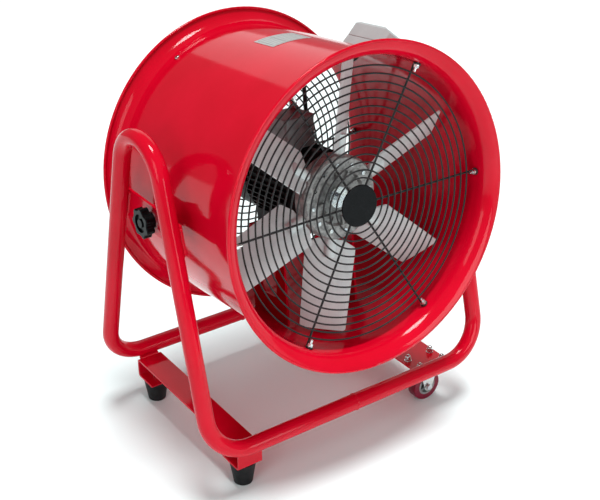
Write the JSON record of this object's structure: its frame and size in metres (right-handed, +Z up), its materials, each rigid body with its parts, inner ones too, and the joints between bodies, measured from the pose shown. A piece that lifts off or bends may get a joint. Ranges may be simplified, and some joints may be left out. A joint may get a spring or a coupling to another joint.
{
  "type": "mobile drum ventilator",
  "caption": "Round red drum ventilator with wire guards, axial impeller and motor, tilting between two tube hoops on a stand with rubber feet and casters.",
  "frame": {"origin": "on the floor under the middle of the whole fan; the tilt axis is 26.3 mm behind it", "axes": "+Z up, outlet faces -Y, +X towards the caster side"},
  "size_m": [0.748, 0.5757, 0.9234],
  "materials": {
    "red_gloss_paint": "gloss, bright red powder coat",
    "zinc_steel": "zinc plated, bright",
    "black_wire": "satin black coated wire",
    "blade_aluminium": "satin, sand-cast and painted silver grey",
    "hub_aluminium": "as cast",
    "motor_black": "matt black paint over castings",
    "terminal_grey": "semi-matt dark grey",
    "steel_machined": "machined",
    "lamination_steel": "stacked laminations, varnished",
    "copper_windings": "enamelled copper",
    "grey_plastic": "light grey moulded plastic",
    "black_plastic": "fine textured black",
    "rubber_black": "matt black",
    "cable_black": "matt black cable sheath",
    "tyre_red": "dark red polyurethane tread",
    "caster_grey": "grey nylon wheel centre",
    "label_silver": "satin plate, blank"
  },
  "bodies": {
    "stand": {"frame_tube_left": "red_gloss_paint", "frame_tube_right": "red_gloss_paint", "pivot_strap_left": "red_gloss_paint", "pivot_strap_right": "red_gloss_paint", "foot_bracket": "red_gloss_paint", "caster_bracket": "red_gloss_paint", "rubber_foot_front": "rubber_black", "rubber_foot_rear": "rubber_black", "foot_bolts": "zinc_steel", "caster_bolts": "zinc_steel", "caster_nuts": "zinc_steel", "caster_fork_front": "zinc_steel", "caster_fork_rear": "zinc_steel", "caster_axles": "zinc_steel"},
    "caster_wheel_front": {"caster_hub_front": "caster_grey", "caster_tyre_front": "tyre_red"},
    "caster_wheel_rear": {"caster_hub_rear": "caster_grey", "caster_tyre_rear": "tyre_red"},
    "housing": {"drum_barrel": "red_gloss_paint", "bell_front": "red_gloss_paint", "bell_rear": "red_gloss_paint", "guard_bolts": "zinc_steel", "guard_nuts": "zinc_steel", "guard_front": "black_wire", "guard_rear": "black_wire", "guard_badge": "black_plastic", "rating_label": "label_silver", "pivot_bosses": "red_gloss_paint", "pivot_studs": "zinc_steel", "switch_box_base": "grey_plastic", "switch_box_lid": "grey_plastic", "switch_box_screws": "zinc_steel", "inlet_gland": "black_plastic", "cable_grommet": "rubber_black", "motor_frame": "motor_black", "stator_core": "lamination_steel", "stator_windings": "copper_windings", "end_shield_drive": "motor_black", "end_shield_rear": "motor_black", "motor_bearings": "steel_machined", "fan_cowl": "motor_black", "motor_bracket": "red_gloss_paint", "motor_bolts": "zinc_steel", "terminal_box": "terminal_grey", "terminal_box_lid": "terminal_grey", "motor_gland": "black_plastic", "motor_cable": "cable_black"},
    "rotor": {"motor_shaft": "steel_machined", "rotor_core": "lamination_steel", "cooling_fan": "black_plastic", "impeller_hub": "hub_aluminium", "hub_clamp_ring": "hub_aluminium", "impeller_blades": "blade_aluminium", "hub_bolts": "zinc_steel", "shaft_screw": "zinc_steel"},
    "rocker": {"switch_rocker": "black_plastic"},
    "clamp_left": {"clamp_washer_left": "zinc_steel"},
    "clamp_right": {"clamp_washer_right": "zinc_steel"},
    "tilt_knob_left": {"knob_left": "black_plastic"},
    "tilt_knob_right": {"knob_right": "black_plastic"}
  },
  "joints": [
    {"name": "drum_tilt", "type": "hinge", "parent": "stand", "child": "housing", "pos_m": [0, 0.0263, 0.56], "axis": [1, 0, 0], "continuous": true},
    {"name": "impeller_spin", "type": "hinge", "parent": "housing", "child": "rotor", "pos_m": [0, -0.11973, 0.5769], "axis": [0, 0.9934, -0.1149], "continuous": true},
    {"name": "caster_roll_front", "type": "hinge", "parent": "stand", "child": "caster_wheel_front", "pos_m": [0.2475, -0.1442, 0.0375], "axis": [0, 1, 0], "continuous": true},
    {"name": "caster_roll_rear", "type": "hinge", "parent": "stand", "child": "caster_wheel_rear", "pos_m": [0.2475, 0.1968, 0.0375], "axis": [0, 1, 0], "continuous": true},
    {"name": "switch_rocker_tip", "type": "hinge", "parent": "housing", "child": "rocker", "pos_m": [0.2199, 0.05194, 0.81291], "axis": [0.7716, -0.0731, -0.6319], "range_deg": [0, 14]},
    {"name": "clamp_left_travel", "type": "slide", "parent": "housing", "child": "clamp_left", "axis": [-1, 0, 0], "range_m": [0, 0.00175]},
    {"name": "clamp_right_travel", "type": "slide", "parent": "housing", "child": "clamp_right", "axis": [1, 0, 0], "range_m": [0, 0.00175]},
    {"name": "knob_left_turn", "type": "hinge", "parent": "clamp_left", "child": "tilt_knob_left", "pos_m": [-0.355, 0.0263, 0.56], "axis": [-1, 0, 0], "range_deg": [0, 360]},
    {"name": "knob_right_turn", "type": "hinge", "parent": "clamp_right", "child": "tilt_knob_right", "pos_m": [0.355, 0.0263, 0.56], "axis": [1, 0, 0], "range_deg": [0, 360]}
  ],
  "couplings": [
    {"joint": "clamp_left_travel", "follows": "knob_left_turn", "m_per_rad": 0.00027852},
    {"joint": "clamp_right_travel", "follows": "knob_right_turn", "m_per_rad": 0.00027852}
  ]
}
